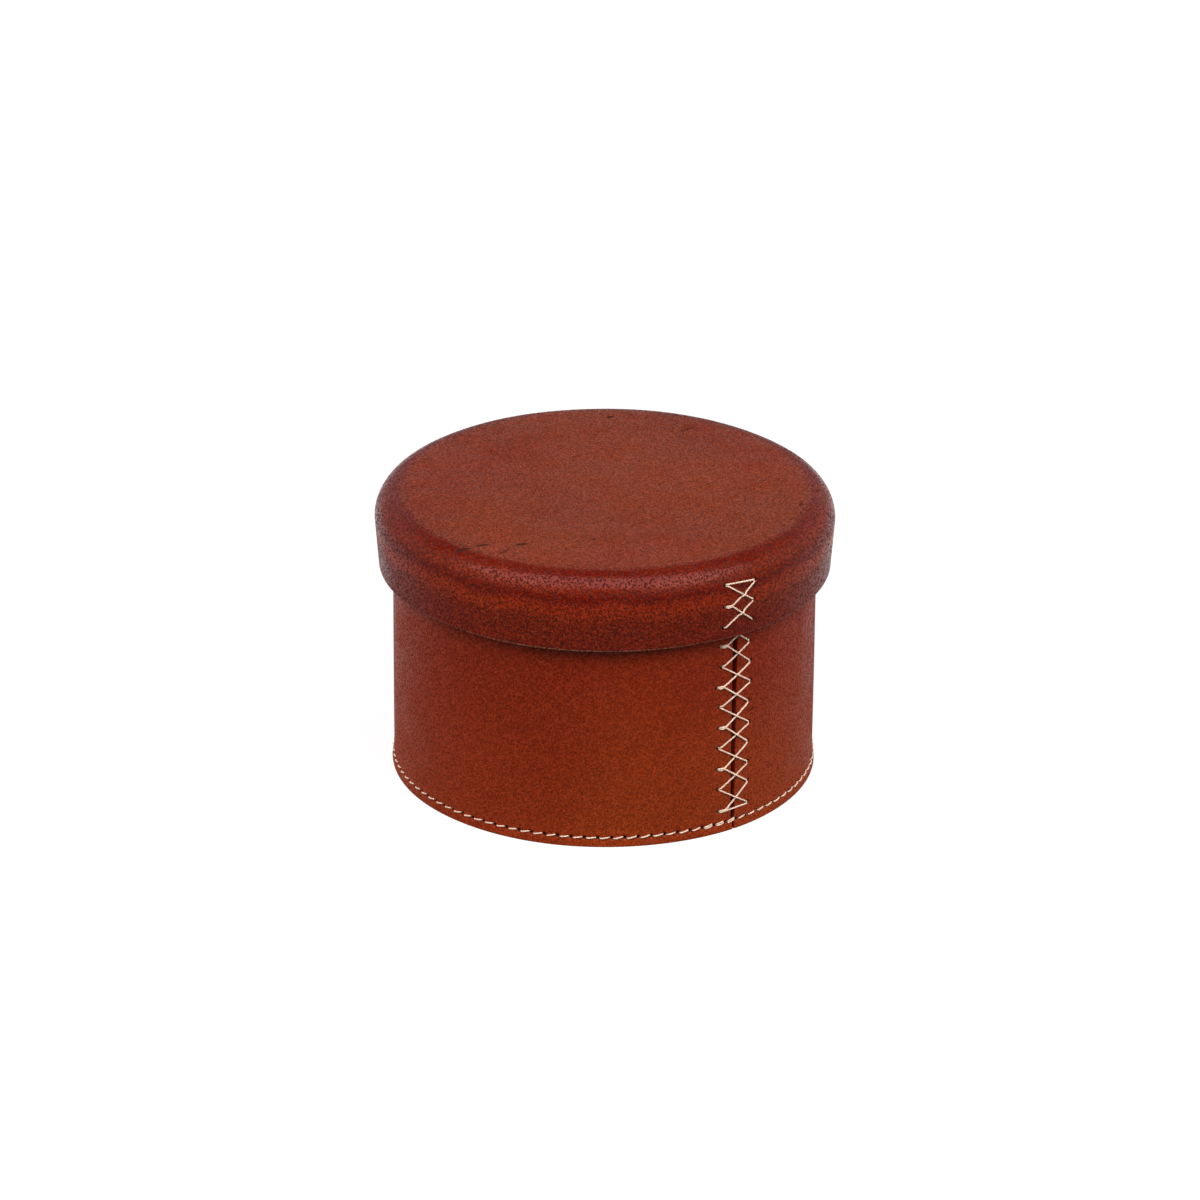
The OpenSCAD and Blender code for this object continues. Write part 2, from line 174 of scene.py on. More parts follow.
class Finish:
    """A material under construction, with short calls for the nodes that it uses."""

    def __init__(self, name):
        self.material = bpy.data.materials.new(name)
        self.material.use_nodes = True
        self.tree = self.material.node_tree
        self.shader = self.tree.nodes["Principled BSDF"]
        self.place = self.tree.nodes.new("ShaderNodeTexCoord").outputs["Object"]

    def put(self, socket, value):
        if isinstance(value, bpy.types.NodeSocket):
            self.tree.links.new(value, socket)
        else:
            socket.default_value = value

    def node(self, kind, *values, **settings):
        made = self.tree.nodes.new(kind)
        for name, setting in settings.items():
            setattr(made, name, setting)
        for socket, value in zip(made.inputs, values):
            if value is not None:
                self.put(socket, value)
        return made

    def math(self, operation, *values):
        return self.node("ShaderNodeMath", *values, operation=operation).outputs[0]

    def noise(self, vector, scale, detail=2.0, rough=0.5):
        made = self.node("ShaderNodeTexNoise")
        self.put(made.inputs["Vector"], vector)
        made.inputs["Scale"].default_value = scale
        made.inputs["Detail"].default_value = detail
        made.inputs["Roughness"].default_value = rough
        return made.outputs["Fac"]

    def cells(self, vector, scale, feature="F1"):
        made = self.node("ShaderNodeTexVoronoi", feature=feature)
        self.put(made.inputs["Vector"], vector)
        made.inputs["Scale"].default_value = scale
        return made

    def fade(self, value, low, high, start=0.0, end=1.0):
        made = self.node("ShaderNodeMapRange", interpolation_type="SMOOTHSTEP")
        for name, given in (("Value", value), ("From Min", low), ("From Max", high),
                            ("To Min", start), ("To Max", end)):
            self.put(made.inputs[name], given)
        return made.outputs["Result"]

    def ramp(self, value, *stops):
        made = self.node("ShaderNodeValToRGB", value)
        elements = made.color_ramp.elements
        while len(elements) < len(stops):
            elements.new(0.5)
        for element, (at, colour) in zip(elements, stops):
            element.position = at
            element.color = (*colour, 1)
        return made.outputs["Color"]

    def mix(self, share, first, second, blend="MIX"):
        made = self.node("ShaderNodeMix", data_type="RGBA", blend_type=blend)
        self.put(made.inputs["Factor"], share)
        for name, colour in (("A", first), ("B", second)):
            socket = [s for s in made.inputs if s.name == name and s.type == "RGBA"][0]
            self.put(socket, colour if isinstance(colour, bpy.types.NodeSocket) else (*colour, 1))
        return [s for s in made.outputs if s.type == "RGBA"][0]

    def moved(self, shift, turn=(0, 0, 0), scale=(1, 1, 1), kind="POINT"):
        made = self.node("ShaderNodeMapping", self.place, vector_type=kind)
        made.inputs["Location"].default_value = shift
        made.inputs["Rotation"].default_value = turn
        made.inputs["Scale"].default_value = scale
        return made.outputs["Vector"]

    def relief(self, height, depth, strength=1.0, under=None):
        made = self.node("ShaderNodeBump")
        made.inputs["Strength"].default_value = strength
        made.inputs["Distance"].default_value = depth
        self.put(made.inputs["Height"], height)
        if under is not None:
            self.put(made.inputs["Normal"], under)
        return made.outputs["Normal"]

    def finish(self, colour, rough, normal, **plain):
        self.put(self.shader.inputs["Base Color"], colour)
        self.put(self.shader.inputs["Roughness"], rough)
        if normal is not None:
            self.put(self.shader.inputs["Normal"], normal)
        for name, value in plain.items():
            self.shader.inputs[name.replace("_", " ")].default_value = value
        return self.material


def rgb(r, g, b):
    """A colour written as the eye reads it, 0 to 255, as the shader wants it."""
    return tuple((c / 255 / 12.92) if c <= 10 else ((c / 255 + 0.055) / 1.055) ** 2.4 for c in (r, g, b))


def wear(f, marks):
    """Old nicks and scratches, and faint darker streaks, each from one point to another, with its width and strength.
    """
    dark_marks = None
    for start, end, width, strength in marks:
        start, end = Vector(start) * MM, Vector(end) * MM
        along = (end - start).normalized()
        flat = start.z > LID_TOP - 2 * MM
        outward = Vector((0, 0, 1)) if flat else Vector((start.x, start.y, 0)).normalized()
        side = outward.cross(along).normalized()
        near = f.node("ShaderNodeMapping", f.place, vector_type="TEXTURE")
        near.inputs["Location"].default_value = (start + end) / 2
        near.inputs["Rotation"].default_value = Matrix((along, side, along.cross(side))).transposed().to_euler()
        near.inputs["Scale"].default_value = ((end - start).length / 2 + 0.3 * MM, width * MM * (1.0 if flat else 0.7),
                                              1.5 * MM)
        reach = f.node("ShaderNodeVectorMath", near.outputs[0], operation="LENGTH").outputs["Value"]
        mark = f.fade(reach, 0.4, 1.2, strength * 0.9, 0.0)
        dark_marks = mark if dark_marks is None else f.math("MAXIMUM", dark_marks, mark)
    return dark_marks


def grain_leather(f, shift, base, marks, gloss, speckle, pore_depth):
    """Waxed grain side over a base colour: clouds, fine grain with pale flecks of painted highlight, dark pores, awl
    holes darkened with painted shade, and wear.

    gloss is the roughness between the pores, speckle the contrast of the finest grain and
    pore_depth how dark the pores are.
    """
    place = f.moved(shift)
    clouds = f.noise(place, 20, 3, 0.55)
    hue = f.noise(f.moved(shift, turn=(0.4, 0.2, 0)), 13, 2, 0.5)
    coarse = f.noise(place, 800, 2, 0.6)
    fine = f.noise(place, 2300, 1, 0.6)
    pebbles = f.cells(f.moved(shift, turn=(0.3, 0.6, 0)), 1900).outputs["Color"]
    speck = f.math("SUBTRACT", f.node("ShaderNodeSeparateXYZ", pebbles).outputs["X"], 0.5)
    warm = f.mix(f.fade(hue, 0.35, 0.65), (1.03, 1.12, 1.0), (0.97, 0.84, 0.9))
    base = f.mix(1.0, base, warm, blend="MULTIPLY")
    grain = f.math("ADD", f.math("MULTIPLY", coarse, 0.3), f.math("MULTIPLY", fine, 0.7))
    light = f.math("ADD", f.fade(clouds, 0.3, 0.7, 0.95, 1.09),
                   f.math("MULTIPLY", f.math("SUBTRACT", grain, 0.5), 1.5))
    light = f.math("ADD", light, f.math("MULTIPLY", speck, speckle))
    lit = f.node("ShaderNodeVectorMath", base, None, operation="SCALE")
    f.put(lit.inputs["Scale"], light)
    cells = f.cells(f.moved(shift, turn=(0, 0, 0.5), scale=(1, 0.9, 0.95)), 1220).outputs["Distance"]
    pore = f.math("SUBTRACT", 1.0, f.fade(cells, 0.32, 0.54))
    # The awl holes' darkness kept on the mesh is painted shade, joined here with the marks.
    pit = f.node("ShaderNodeAttribute", attribute_name="pit").outputs["Fac"]
    dark_marks = f.math("MAXIMUM", f.math("MULTIPLY", pit, 0.94), wear(f, marks))
    dark = f.math("MAXIMUM", f.math("MULTIPLY", pore, pore_depth), dark_marks)
    # Pale flecks on the finest grain: painted highlights, the grain's small glints put into the colour.
    colour = f.mix(f.fade(speck, 0.1, 0.5, 0.0, 0.07), lit.outputs[0], (0.42, 0.19, 0.09))
    colour = f.mix(dark, colour, (0.012, 0.003, 0.0012))
    dull = f.math("MAXIMUM", pore, dark_marks)
    height = f.math("SUBTRACT", f.math("MULTIPLY", grain, 0.5), dull)
    normal = f.relief(height, 0.045 * MM, 0.8)
    wax = f.fade(f.noise(f.moved(shift, turn=(0, 0.3, 0)), 60, 2, 0.5), 0.42, 0.66, 0.0, 0.12)
    rough = f.math("ADD", f.math("ADD", gloss, wax), f.math("MULTIPLY", dull, 0.55))
    return f.finish(colour, rough, normal, Specular_IOR_Level=0.22)


def wall_finish():
    """Reddish brown, with painted light from the floor: a little lighter and more orange towards the foot."""
    f = Finish("wall_leather")
    height = f.node("ShaderNodeSeparateXYZ", f.place).outputs["Z"]
    # lighter and more orange towards the foot: painted light thrown up from the floor
    base = f.mix(f.fade(height, 0.0, 70 * MM), (0.252, 0.0260, 0.0018), (0.206, 0.0165, 0.0010))
    return grain_leather(f, (0.31, 0.12, 0.05), base, WALL_MARKS, 0.34, 0.5, 0.32)


def lid_finish():
    """Brown top and a deep red shoulder, with a lighter band of painted light under it, a dark skirt that is partly
    its own colour and partly painted shade, and a painted highlight along the lower edge.
    """
    f = Finish("lid_leather")
    split = f.node("ShaderNodeSeparateXYZ", f.place)
    uneven = f.math("MULTIPLY", f.math("SUBTRACT", f.noise(f.place, 45, 3), 0.5), 5 * MM)
    height = f.math("ADD", split.outputs["Z"], uneven)
    across = f.node("ShaderNodeCombineXYZ", split.outputs["X"], split.outputs["Y"], 0.0).outputs[0]
    radius = f.node("ShaderNodeVectorMath", across, operation="LENGTH").outputs["Value"]
    level = f.math("DIVIDE", f.math("SUBTRACT", height, LID_LOW), LID_TOP - LID_LOW)
    # Colour by height on the lid's side: the deep red of the shoulder is the leather's own; the lighter band at the
    # top of the skirt is painted light, and the darker skirt below it is partly its own colour and partly painted
    # shade.
    side = f.ramp(level, (0.0, (0.154, 0.0080, 0.0006)), (0.38, (0.160, 0.0100, 0.0008)),
                  (0.50, (0.240, 0.0180, 0.0008)), (0.60, (0.236, 0.0150, 0.0006)),
                  (0.70, (0.108, 0.0034, 0.0004)), (0.85, (0.156, 0.0100, 0.0005)), (1.0, (0.116, 0.0034, 0.0004)))
    brown = (0.156, 0.0158, 0.0014)
    colour = f.mix(f.fade(radius, LID_FLAT - 1 * MM, LID_FLAT + 3 * MM), brown, side)
    # A painted highlight along the lid's lower edge, strongest at the front and fading round the sides; partly the
    # lighter colour of the cut edge.
    edge = f.fade(split.outputs["Z"], SKIRT_LOW + 0.55 * MM, SKIRT_LOW + 0.85 * MM, 0.9, 0.0)
    aside = f.math("ABSOLUTE", f.math("ADD", split.outputs["X"], 8 * MM))
    edge = f.math("MULTIPLY", edge, f.fade(aside, 20 * MM, 50 * MM, 0.8, 0.2))
    colour = f.mix(edge, colour, (0.30, 0.11, 0.06))
    gloss = f.fade(radius, LID_FLAT - 4 * MM, LID_FLAT + 2 * MM, 0.34, 0.2)
    speckle = f.fade(radius, LID_FLAT - 4 * MM, LID_FLAT + 2 * MM, 0.8, 0.6)
    pore_depth = f.fade(radius, LID_FLAT - 4 * MM, LID_FLAT + 2 * MM, 0.3, 0.7)
    return grain_leather(f, (0.07, 0.41, 0.23), colour, LID_MARKS, gloss, speckle, pore_depth)


def flesh_leather(name):
    """Undyed-looking flesh side and cut edges, matt and fibrous."""
    f = Finish(name)
    fibres = f.noise(f.moved((0, 0, 0), scale=(1, 1, 0.35)), 900, 4, 0.65)
    clouds = f.noise(f.place, 60, 3)
    colour = f.mix(f.math("MULTIPLY", clouds, 0.7), rgb(122, 64, 38), rgb(92, 44, 26))
    colour = f.mix(f.fade(fibres, 0.35, 0.75), colour, rgb(142, 86, 56))
    return f.finish(colour, 0.82, f.relief(fibres, 0.15 * MM, 0.5), Specular_IOR_Level=0.2)


def suede(name):
    f = Finish(name)
    nap = f.noise(f.place, 1600, 3, 0.7)
    brushed = f.noise(f.place, 45, 4, 0.6)
    colour = f.mix(f.fade(brushed, 0.35, 0.65), rgb(150, 112, 80), rgb(172, 134, 98))
    colour = f.mix(f.math("MULTIPLY", nap, 0.5), colour, rgb(120, 88, 62))
    return f.finish(colour, 0.95, f.relief(nap, 0.2 * MM, 0.6), Specular_IOR_Level=0.15, Sheen_Weight=0.35)


def waxed_thread(name):
    f = Finish(name)
    fuzz = f.noise(f.place, 2600, 3, 0.6)
    colour = f.mix(f.fade(fuzz, 0.3, 0.7), rgb(240, 216, 195), rgb(212, 180, 156))
    return f.finish(colour, 0.6, f.relief(fuzz, 0.05 * MM, 0.4), Specular_IOR_Level=0.3)


def pick(test, kind="faces"):
    """Selects in edit mode what test is true of, and nothing else."""
    mesh = bmesh.from_edit_mesh(bpy.context.object.data)
    bpy.ops.mesh.select_all(action="DESELECT")
    for part in getattr(mesh, kind):
        if test(part):
            part.select_set(True)
    bmesh.update_edit_mesh(bpy.context.object.data)


def edit(kind="FACE"):
    bpy.ops.object.mode_set(mode="EDIT")
    bpy.ops.mesh.select_mode(type=kind)


def leave():
    bpy.ops.object.mode_set(mode="OBJECT")


def apply_all(piece):
    for modifier in list(piece.modifiers):
        bpy.ops.object.modifier_apply(modifier=modifier.name)


def cylinder(name, radius, low, high, columns, turn, ends):
    bpy.ops.object.select_all(action="DESELECT")
    bpy.ops.mesh.primitive_cylinder_add(vertices=columns, radius=radius, depth=high - low, end_fill_type=ends,
                                        location=(0, 0, (low + high) / 2), rotation=(0, 0, turn))
    piece = bpy.context.object
    piece.name = name
    bpy.ops.object.transform_apply(location=True, rotation=True, scale=True)
    return piece


def upright(edge):
    a, b = edge.verts
    return abs(a.co.z - b.co.z) > 0.1 * MM and (a.co.xy - b.co.xy).length < 0.1 * MM


def around(co, start):
    """Angle of a point from start, between -pi and pi."""
    return (math.atan2(co.y, co.x) - start + math.pi) % (2 * math.pi) - math.pi


def dress(piece, body, node, material):
    """Gives a finished piece its material and body, and hides the CAD node that it stands for."""
    piece.data.materials.clear()
    piece.data.materials.append(material)
    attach(piece, body)
    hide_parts(node)


def pit(across, up, wide, high, depth):
    """Depth of an awl slit and its painted shade, wide and high to either side, with the leather drawn in round it."""
    away = math.hypot(across / wide, up / high)
    hole = 1 - smooth_step(0.6, 1.05, away)
    return depth * hole + 0.14 * MM * (1 - smooth_step(1, 2.4, away)), 1 - smooth_step(0.75, 1.2, away)


SLIT = (1.05 * MM, 0.62 * MM)
SLIT_OUT = 0.35 * MM
AWL = (0.72 * MM, 0.5 * MM)
COLUMNS = 360


def paint_hole_shade(piece, values):
    """Keeps the painted shade of each point of an awl hole, for the leather's material."""
    layer = piece.data.attributes.new("pit", "FLOAT", "POINT")
    for item, value in zip(layer.data, values):
        item.value = value


def make_wall(material):
    wall = cylinder("leather_wall", WALL_R, 0, WALL_H, COLUMNS, SEAM_AT, "NOTHING")
    edit("EDGE")
    pick(upright, "edges")
    bpy.ops.mesh.subdivide(number_cuts=39)
    pick(lambda e: all(abs(around(v.co, SEAM_AT)) < 0.1 * math.radians(1) for v in e.verts), "edges")
    bpy.ops.mesh.edge_split(type="EDGE")
    leave()
    sides = {}
    for face in wall.data.polygons:
        side = 1 if around(face.center, SEAM_AT) > 0 else -1
        for index in face.vertices:
            sides[index] = side
    for vertex in wall.data.vertices:
        angle = around(vertex.co, SEAM_AT)
        if abs(angle) < math.radians(0.1):
            angle = 0.0
        half = seam_gap(vertex.co.z) / 2 / WALL_R
        side = sides[vertex.index]
        angle = SEAM_AT + side * (half + abs(angle) * (1 - half / math.pi))
        r = WALL_R + spread(vertex.co.z)
        vertex.co.x = r * math.cos(angle)
        vertex.co.y = r * math.sin(angle)
    thick = wall.modifiers.new("thickness", "SOLIDIFY")
    thick.thickness = WALL_T
    thick.offset = -1
    thick.use_even_offset = True
    soft = wall.modifiers.new("burnished_edges", "BEVEL")
    soft.width = 0.3 * MM
    soft.segments = 3
    soft.limit_method = "ANGLE"
    soft.angle_limit = math.radians(50)
    apply_all(wall)

    def outside(face):
        middle = face.calc_center_median()
        return middle.xy.length > WALL_R - 0.3 * MM

    def lacing_zone(face):
        middle = face.calc_center_median()
        return outside(face) and 0.8 * MM < abs(around(middle, SEAM_AT)) * WALL_R < 10 * MM

    def foot_zone(face):
        middle = face.calc_center_median()
        return outside(face) and 1.2 * MM < middle.z < 5.8 * MM

    edit()
    pick(lacing_zone)
    bpy.ops.mesh.subdivide(number_cuts=4)
    pick(foot_zone)
    bpy.ops.mesh.subdivide(number_cuts=4)
    leave()
    slits = [(u - SLIT_OUT, z) for u, z in WALL_LEFT] + [(u + SLIT_OUT, z) for u, z in WALL_RIGHT]
    # Painted shade for the awl holes, kept for each vertex.
    hole_shade = []
    for vertex in wall.data.vertices:
        co = vertex.co
        r = co.xy.length
        angle = around(co, SEAM_AT)
        dark = 0.0
        wave = noise.noise(Vector((co.x, co.y, co.z)) * 22) * 0.22 * MM
        if r > WALL_R - 0.4 * MM:
            u = angle * WALL_R
            drop = 0.0
            for slit_u, slit_z in slits:
                if abs(u - slit_u) < 3 * MM and abs(co.z - slit_z) < 2 * MM:
                    deep, shade = pit(u - slit_u, co.z - slit_z, *SLIT, 1.7 * MM)
                    drop, dark = max(drop, deep), max(dark, shade)
            if 0.8 * MM < co.z < 6 * MM:
                step = (u - STITCH_SHIFT) / WALL_R / STITCH_STEP - 0.5
                off = (step - round(step)) * STITCH_STEP * WALL_R
                deep, shade = pit(off, co.z - STITCH_Z, *AWL, 1.3 * MM)
                groove = 0.12 * MM * (1 - smooth_step(0.2 * MM, 1.3 * MM, abs(co.z - STITCH_Z)))
                drop, dark = max(drop, deep, groove), max(dark, shade)
            wave -= drop
        co.x += wave * co.x / r
        co.y += wave * co.y / r
        co.z += noise.noise(Vector((co.x * 14, co.y * 14, 3.1))) * 0.12 * MM * smooth_step(0.09, 0.1, co.z)
        co.z = max(0.0, co.z)
        hole_shade.append(dark)
    paint_hole_shade(wall, hole_shade)
    bpy.ops.object.shade_smooth()
    dress(wall, "box", "wall", material)
    return wall


def make_lid(material):
    lid = cylinder("leather_lid", LID_R, SKIRT_LOW, LID_TOP, COLUMNS, LID_LACE_AT, "NGON")
    edit()
    pick(lambda face: len(face.verts) > 4 and face.calc_center_median().z < SHOULDER_Z)
    bpy.ops.mesh.delete(type="ONLY_FACE")
    pick(lambda face: len(face.verts) > 4)
    bpy.ops.mesh.select_mode(type="EDGE")
    bpy.ops.mesh.region_to_loop()
    bpy.ops.mesh.bevel(offset=LID_ROUND, segments=14, affect="EDGES", profile=0.5)
    pick(lambda e: upright(e) and max(v.co.z for v in e.verts) < SHOULDER_Z + 0.1 * MM, "edges")
    bpy.ops.mesh.subdivide(number_cuts=8)
    bpy.ops.mesh.select_mode(type="FACE")
    pick(lambda face: len(face.verts) > 4)
    rings = 24
    for ring in range(rings):
        bpy.ops.mesh.inset(thickness=(LID_FLAT - 1.5 * MM) / rings, use_even_offset=False)
    bpy.ops.mesh.poke()
    leave()
    for vertex in lid.data.vertices:
        if vertex.co.z < SHOULDER_Z:
            share = lid_side(vertex.co.z) / LID_R
            vertex.co.x *= share
            vertex.co.y *= share
    thick = lid.modifiers.new("thickness", "SOLIDIFY")
    thick.thickness = LID_T
    thick.offset = -1
    thick.use_even_offset = True
    soft = lid.modifiers.new("burnished_edge", "BEVEL")
    soft.width = 0.6 * MM
    soft.segments = 3
    soft.limit_method = "ANGLE"
    soft.angle_limit = math.radians(50)
    apply_all(lid)

    def outside(co):
        if co.z <= SHOULDER_Z:
            return co.xy.length > lid_side(co.z) - 0.5 * MM
        return math.hypot(co.xy.length - LID_FLAT, co.z - SHOULDER_Z) > LID_ROUND - 0.5 * MM

    def lacing_zone(face):
        middle = face.calc_center_median()
        near = abs(around(middle, LID_LACE_AT)) * LID_R < 9 * MM
        return near and middle.xy.length > LID_FLAT and outside(middle)

    edit()
    pick(lacing_zone)
    bpy.ops.mesh.subdivide(number_cuts=4)
    leave()
    slits = [on_lid(u - SLIT_OUT, z, 0) for u, z in LID_LEFT] + [on_lid(u + SLIT_OUT, z, 0) for u, z in LID_RIGHT]
    # Painted shade for the awl holes, kept for each vertex.
    hole_shade = []
    lid.data.update()
    normals = [Vector(v.normal) for v in lid.data.vertices]
    for vertex, normal in zip(lid.data.vertices, normals):
        co = Vector(vertex.co)
        push = noise.noise(co * 26 + Vector((5, 1, 2))) * 0.2 * MM
        drop, dark = 0.0, 0.0
        if outside(co) and co.xy.length > LID_FLAT:
            for slit in slits:
                if (co - slit).length < 3 * MM:
                    across = (around(co, LID_LACE_AT) - around(slit, LID_LACE_AT)) * LID_R
                    up = math.copysign(math.hypot(co.z - slit.z, co.xy.length - slit.xy.length), co.z - slit.z)
                    deep, shade = pit(across, up, *SLIT, 1.5 * MM)
                    drop, dark = max(drop, deep), max(dark, shade)
        vertex.co = co + normal * (push - drop)
        across = co.xy.length
        vertex.co.z += 0.3 * MM * (1 - smooth_step(LID_FLAT - 16 * MM, LID_FLAT + 2 * MM, across))
        vertex.co.z += 0.16 * MM * (1 - smooth_step(LID_FLAT - 3 * MM, LID_FLAT + 1 * MM, across))
        hole_shade.append(dark)
    paint_hole_shade(lid, hole_shade)
    bpy.ops.object.shade_smooth()
    dress(lid, "lid", "lid_shell", material)
    return lid


def crossing(p1, p2, q1, q2):
    """Where the lines through p1, p2 and q1, q2 cross."""
    d, e, w = p2 - p1, q2 - q1, q1 - p1
    return p1 + d * (w.x * e.y - w.y * e.x) / (d.x * e.y - d.y * e.x)


def outer_span(a, b, via):
    """A strand on the outside between two holes, over the points of via. Points are (u, z, out)."""
    first = via[0].xy if via else b
    last = via[-1].xy if via else a
    to = (first - a).normalized() * BEND
    back = (last - b).normalized() * BEND
    deep = LIE - 2.2 * MM
    return [Vector((*a, deep)), Vector((*a, LIE - BEND)), Vector((*(a + to), LIE)), *via,
            Vector((*(b + back), LIE)), Vector((*b, LIE - BEND)), Vector((*b, deep))]


def inner_span(a, b, depth):
    to = (b - a).normalized() * BEND
    return [Vector((*a, depth + BEND)), Vector((*(a + to), depth)),
            Vector((*(b - to), depth)), Vector((*b, depth + BEND))]


def lace_route(left, right, depths, odd, tail):
    """Thread through two columns of holes: a bar at the first row, then a cross between the rows.

    At left holes whose number leaves odd as its remainder, both strands run side by side, swell and
    part again.
    """
    count = len(left)
    off = STRAND if left[1][1] > left[0][1] else -STRAND
    next_l = [Vector((u, z + off)) for u, z in left]
    back_l = [Vector((u, z - off)) for u, z in left]
    next_r = [Vector((u, z + off)) for u, z in right]
    back_r = [Vector((u, z - off)) for u, z in right]
    run = [Vector((STRAND_RUN if k % 2 == odd else 0, 0)) for k in range(count)]
    part_next = [p + r for p, r in zip(next_l, run)]
    part_back = [p + r for p, r in zip(back_l, run)]
    swell = Vector((0, 0.07 * MM if off > 0 else -0.07 * MM))
    outer_in = [-d - LIE for d in depths]
    inner_in = [-d - LIE - LAYER for d in depths]
    under, over = [], []
    for k in range(count - 1):
        way = back_r[k + 1] - part_next[k]
        first = [Vector((*p, LIE)) for p in (part_next[k] - run[k] / 2 + swell, part_next[k])] if run[k].x else []
        under.append(first + [Vector((*(part_next[k] + way * t), LIE)) for t in (0.35, 0.65)])
        at = crossing(part_next[k], back_r[k + 1], next_r[k], part_back[k + 1])
        way = (next_r[k] - part_back[k + 1]).normalized()
        first = [Vector((*p, LIE)) for p in
                 (part_back[k + 1] - run[k + 1] / 2 - swell, part_back[k + 1])] if run[k + 1].x else []
        rise = [Vector((*(at + way * s * MM), LIE + lift)) for s, lift in
                ((-1.5, 0), (-0.5, LAYER), (0.5, LAYER), (1.5, 0))]
        over.append(first + rise)
    last = count - 1
    cut = (back_r[last] - back_l[last]).normalized() * tail
    route = [Vector((*(back_l[last] + cut), outer_in[last])),
             Vector((*(back_l[last] + cut * BEND / tail), outer_in[last])),
             Vector((*back_l[last], outer_in[last] + BEND))]
    for k in range(count - 2, -1, -1):
        route += outer_span(back_l[k + 1], next_r[k], over[k])
        route += inner_span(next_r[k], back_l[k], inner_in[k])
    route += outer_span(back_l[0], back_r[0], []) + inner_span(back_r[0], next_l[0], outer_in[0])
    for k in range(count - 1):
        route += outer_span(next_l[k], back_r[k + 1], under[k])
        if k < count - 2:
            route += inner_span(back_r[k + 1], next_l[k + 1], outer_in[k + 1])
    route += [Vector((*back_r[last], outer_in[last] + BEND)),
              Vector((*(back_r[last] - cut * BEND / tail), outer_in[last])),
              Vector((*(back_r[last] - cut), outer_in[last]))]
    return route


PLY_TURN = 2 * math.pi / (3.4 * MM)
PLIES = 3


def rounded_route(points, spacing):
    """Evenly spaced points along a smooth line that keeps close to the given ones."""
    line = []
    count = len(points)
    for i in range(count - 1):
        a = points[max(0, i - 1)]
        b, c = points[i], points[i + 1]
        d = points[min(count - 1, i + 2)]
        length = (c - b).length
        steps = max(1, int(length / (0.1 * MM)))
        lead = min(length, (b - a).length) if (b - a).length else length
        trail = min(length, (d - c).length) if (d - c).length else length
        start = (c - a).normalized() * lead
        end = (d - b).normalized() * trail
        for j in range(steps):
            t = j / steps
            line.append(b * (2 * t ** 3 - 3 * t ** 2 + 1) + start * (t ** 3 - 2 * t ** 2 + t)
                        + c * (3 * t ** 2 - 2 * t ** 3) + end * (t ** 3 - t ** 2))
    line.append(points[-1])
    even = [line[0]]
    walked = 0.0
    for a, b in zip(line, line[1:]):
        walked += (b - a).length
        if walked >= spacing:
            even.append(b)
            walked = 0.0
    even.append(line[-1])
    return even


def ply_section(radius, points):
    """Closed outline of a thread of three plies, as a curve to sweep."""
    data = bpy.data.curves.new("plies", "CURVE")
    spline = data.splines.new("POLY")
    spline.points.add(points - 1)
    spline.use_cyclic_u = True
    for i, point in enumerate(spline.points):
        angle = 2 * math.pi * i / points
        r = radius * (0.9 + 0.13 * math.cos(PLIES * angle))
        point.co = (r * math.cos(angle), r * math.sin(angle), 0, 1)
    section = bpy.data.objects.new("plies", data)
    bpy.context.scene.collection.objects.link(section)
    return section


def thread_piece(name, routes, spacing, around_points, radius=THREAD_R):
    """One mesh of twisted thread along each route."""
    section = ply_section(radius, around_points)
    data = bpy.data.curves.new(name, "CURVE")
    data.dimensions = "3D"
    data.twist_mode = "MINIMUM"
    data.bevel_mode = "OBJECT"
    data.bevel_object = section
    data.use_fill_caps = True
    for route in routes:
        points = rounded_route(route, spacing)
        spline = data.splines.new("POLY")
        spline.points.add(len(points) - 1)
        walked = random.uniform(0, 3.4) * MM
        before = points[0]
        for point, place in zip(spline.points, points):
            walked += (place - before).length
            before = place
            point.co = (*place, 1)
            point.tilt = walked * PLY_TURN
    piece = bpy.data.objects.new(name, data)
    bpy.context.scene.collection.objects.link(piece)
    bpy.ops.object.select_all(action="DESELECT")
    piece.select_set(True)
    bpy.context.view_layer.objects.active = piece
    bpy.ops.object.convert(target="MESH")
    bpy.data.objects.remove(section)
    piece = bpy.context.object
    edit()
    bpy.ops.mesh.select_all(action="SELECT")
    bpy.ops.mesh.normals_make_consistent(inside=False)
    leave()
    bpy.ops.object.shade_smooth()
    return piece


def make_wall_lacing(material):
    depths = [WALL_T + GLUE + (PAN_T if z < FLOOR_UNDER else BACKING_T) for z in WALL_ROWS]
    route = lace_route(WALL_LEFT, WALL_RIGHT, depths, 0, 4.2 * MM)
    piece = thread_piece("wall_lace_thread", [[on_wall(*p) for p in route]], 0.28 * MM, 12)
    dress(piece, "box", "wall_lacing", material)


def make_lid_lacing(material):
    route = lace_route(LID_LEFT, LID_RIGHT, [LID_T] * 3, 1, 3.8 * MM)
    piece = thread_piece("lid_lace_thread", [[on_lid(*p) for p in route]], 0.24 * MM, 12)
    dress(piece, "lid", "lid_lacing", material)


